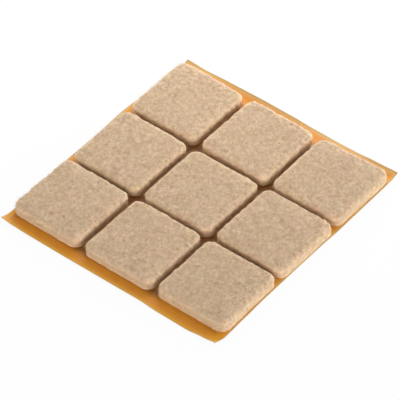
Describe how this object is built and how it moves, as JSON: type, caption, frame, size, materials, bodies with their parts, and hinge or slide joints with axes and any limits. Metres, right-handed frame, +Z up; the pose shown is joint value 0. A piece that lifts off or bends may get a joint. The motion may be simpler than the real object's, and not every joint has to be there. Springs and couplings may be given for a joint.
{
  "type": "felt furniture slider sheet",
  "caption": "Square felt furniture sliders with rounded corners, laid in a grid on a sheet of amber release paper. Each pad lifts off with its own adhesive film to stick under a furniture leg.",
  "frame": {"origin": "middle of the release paper's underside", "axes": "+X along a row of pads from left to right, +Y from the front margin of bare paper to the back one, +Z up out of the felt"},
  "size_m": [0.096, 0.1038, 0.0043],
  "materials": {
    "felt": "matte",
    "adhesive": "gloss",
    "liner_paper": "satin"
  },
  "bodies": {
    "sheet": {"release_liner": "liner_paper"},
    "pad_front_left": {"felt_pad_front_left": "felt", "adhesive_film_front_left": "adhesive"},
    "pad_front_centre": {"felt_pad_front_centre": "felt", "adhesive_film_front_centre": "adhesive"},
    "pad_front_right": {"felt_pad_front_right": "felt", "adhesive_film_front_right": "adhesive"},
    "pad_middle_left": {"felt_pad_middle_left": "felt", "adhesive_film_middle_left": "adhesive"},
    "pad_middle_centre": {"felt_pad_middle_centre": "felt", "adhesive_film_middle_centre": "adhesive"},
    "pad_middle_right": {"felt_pad_middle_right": "felt", "adhesive_film_middle_right": "adhesive"},
    "pad_back_left": {"felt_pad_back_left": "felt", "adhesive_film_back_left": "adhesive"},
    "pad_back_centre": {"felt_pad_back_centre": "felt", "adhesive_film_back_centre": "adhesive"},
    "pad_back_right": {"felt_pad_back_right": "felt", "adhesive_film_back_right": "adhesive"}
  },
  "joints": [
    {"name": "peel_front_left", "type": "slide", "parent": "sheet", "child": "pad_front_left", "axis": [0, 0, 1], "range_m": [0, 0.03]},
    {"name": "peel_front_centre", "type": "slide", "parent": "sheet", "child": "pad_front_centre", "axis": [0, 0, 1], "range_m": [0, 0.03]},
    {"name": "peel_front_right", "type": "slide", "parent": "sheet", "child": "pad_front_right", "axis": [0, 0, 1], "range_m": [0, 0.03]},
    {"name": "peel_middle_left", "type": "slide", "parent": "sheet", "child": "pad_middle_left", "axis": [0, 0, 1], "range_m": [0, 0.03]},
    {"name": "peel_middle_centre", "type": "slide", "parent": "sheet", "child": "pad_middle_centre", "axis": [0, 0, 1], "range_m": [0, 0.03]},
    {"name": "peel_middle_right", "type": "slide", "parent": "sheet", "child": "pad_middle_right", "axis": [0, 0, 1], "range_m": [0, 0.03]},
    {"name": "peel_back_left", "type": "slide", "parent": "sheet", "child": "pad_back_left", "axis": [0, 0, 1], "range_m": [0, 0.03]},
    {"name": "peel_back_centre", "type": "slide", "parent": "sheet", "child": "pad_back_centre", "axis": [0, 0, 1], "range_m": [0, 0.03]},
    {"name": "peel_back_right", "type": "slide", "parent": "sheet", "child": "pad_back_right", "axis": [0, 0, 1], "range_m": [0, 0.03]}
  ]
}
